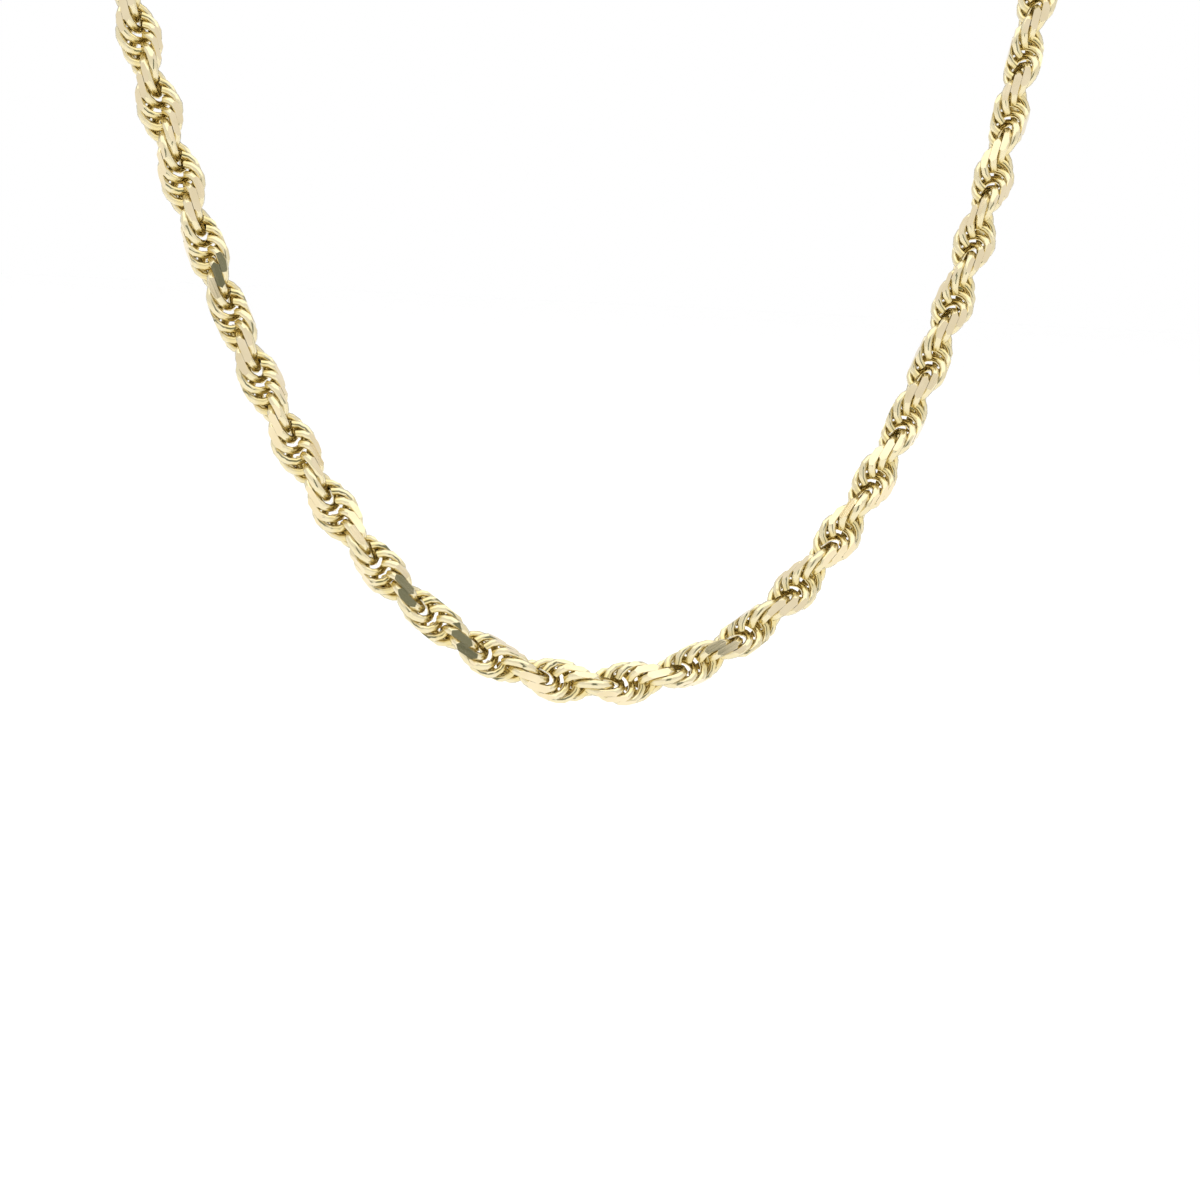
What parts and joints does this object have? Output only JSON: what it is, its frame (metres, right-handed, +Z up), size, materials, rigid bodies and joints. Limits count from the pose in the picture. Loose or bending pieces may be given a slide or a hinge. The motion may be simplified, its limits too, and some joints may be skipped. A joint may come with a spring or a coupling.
{
  "type": "rope chain necklace",
  "caption": "Diamond-cut rope chain necklace of woven gold ring links, a closed loop worn round a neck, with a plain barrel clasp at the nape.",
  "frame": {"origin": "inner side of the barrel clasp, where the necklace sits on the nape", "axes": "+Z up, -Y towards the front of the worn necklace, +X to the right seen from the front"},
  "size_m": [0.12, 0.1092, 0.1886],
  "materials": {
    "rope_gold": "polished yellow gold, diamond cut",
    "clasp_gold": "polished yellow gold"
  },
  "bodies": {
    "root": {"chain_left": "rope_gold", "chain_right": "rope_gold", "clasp": "clasp_gold"}
  },
  "joints": []
}
